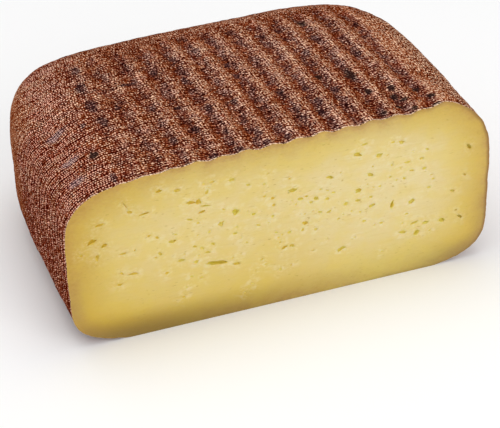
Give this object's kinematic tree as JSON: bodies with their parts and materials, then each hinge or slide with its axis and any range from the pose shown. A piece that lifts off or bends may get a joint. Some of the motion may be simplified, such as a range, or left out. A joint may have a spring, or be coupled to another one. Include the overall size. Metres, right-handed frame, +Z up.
{
  "type": "mahon cheese",
  "caption": "Cut mahon cheese: a square, pillow-shaped loaf with a grooved, cloth-marked brown rind and a pale yellow cut face with small openings, resting on its flat base.",
  "frame": {"origin": "middle of the outline box, on the flat base that the loaf rests on", "axes": "+X along the cut towards the higher end, +Y from the cut to the back, so the cut faces -Y, +Z up"},
  "size_m": [0.1932, 0.139, 0.0818],
  "materials": {
    "cheese": "dry brown cloth-marked rind all round, satin pale yellow paste on the cut"
  },
  "bodies": {
    "root": {"loaf": "cheese"}
  },
  "joints": []
}
